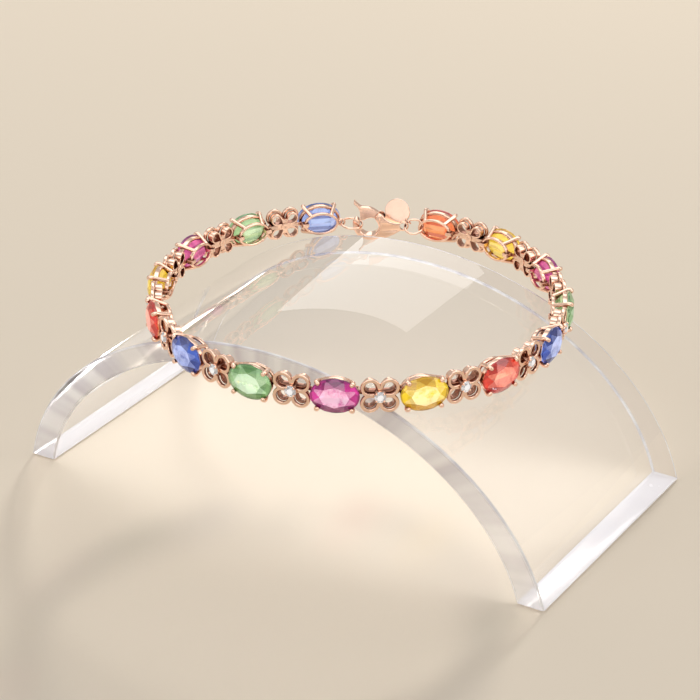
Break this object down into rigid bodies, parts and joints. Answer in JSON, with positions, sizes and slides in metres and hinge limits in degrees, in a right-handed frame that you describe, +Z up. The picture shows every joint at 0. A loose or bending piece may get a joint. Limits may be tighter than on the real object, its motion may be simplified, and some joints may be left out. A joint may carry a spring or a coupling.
{
  "type": "gemstone bracelet on a clear display stand",
  "caption": "Closed rose gold bracelet of claw-set oval coloured stones and pierced flower links, with a lobster clasp and blank tag, lying on a low arched stand of bent clear sheet.",
  "frame": {"origin": "under the middle of the whole object's box, on the surface it stands on", "axes": "+X across the arch's span, foot to foot; +Y along the arch's depth, from the front edge to the clasp side; +Z up"},
  "size_m": [0.0856, 0.0602, 0.0304],
  "materials": {
    "rose_gold": "polished rose gold",
    "clear_sheet": "clear acrylic with polished edges",
    "gem_blue": "polished facets",
    "gem_green": "polished facets",
    "gem_pink": "polished facets",
    "gem_yellow": "polished facets",
    "gem_orange": "polished facets",
    "white_stone": "small round brilliant"
  },
  "bodies": {
    "bracelet_and_stand": {"display_arch": "clear_sheet", "setting_blue_1": "rose_gold", "setting_green_1": "rose_gold", "setting_pink_1": "rose_gold", "setting_yellow_1": "rose_gold", "setting_orange_1": "rose_gold", "setting_blue_2": "rose_gold", "setting_green_2": "rose_gold", "setting_pink_2": "rose_gold", "setting_yellow_2": "rose_gold", "setting_orange_2": "rose_gold", "setting_blue_3": "rose_gold", "setting_green_3": "rose_gold", "setting_pink_3": "rose_gold", "setting_yellow_3": "rose_gold", "setting_orange_3": "rose_gold", "stone_blue_1": "gem_blue", "stone_green_1": "gem_green", "stone_pink_1": "gem_pink", "stone_yellow_1": "gem_yellow", "stone_orange_1": "gem_orange", "stone_blue_2": "gem_blue", "stone_green_2": "gem_green", "stone_pink_2": "gem_pink", "stone_yellow_2": "gem_yellow", "stone_orange_2": "gem_orange", "stone_blue_3": "gem_blue", "stone_green_3": "gem_green", "stone_pink_3": "gem_pink", "stone_yellow_3": "gem_yellow", "stone_orange_3": "gem_orange", "flower_link_01": "rose_gold", "flower_link_02": "rose_gold", "flower_link_03": "rose_gold", "flower_link_04": "rose_gold", "flower_link_05": "rose_gold", "flower_link_06": "rose_gold", "flower_link_07": "rose_gold", "flower_link_08": "rose_gold", "flower_link_09": "rose_gold", "flower_link_10": "rose_gold", "flower_link_11": "rose_gold", "flower_link_12": "rose_gold", "flower_link_13": "rose_gold", "flower_link_14": "rose_gold", "clasp_body": "rose_gold", "clasp_ring": "rose_gold", "tag_ring": "rose_gold", "tag": "rose_gold"},
    "lever": {"clasp_lever": "rose_gold"}
  },
  "joints": [
    {"name": "lever_hinge", "type": "hinge", "parent": "bracelet_and_stand", "child": "lever", "pos_m": [-0.00998, 0.02416, 0.02739], "axis": [0.4412, -0.8973, 0.0128], "range_deg": [0, 12], "stiffness_Nm_per_rad": 0.002, "springref_deg": -5.73}
  ]
}
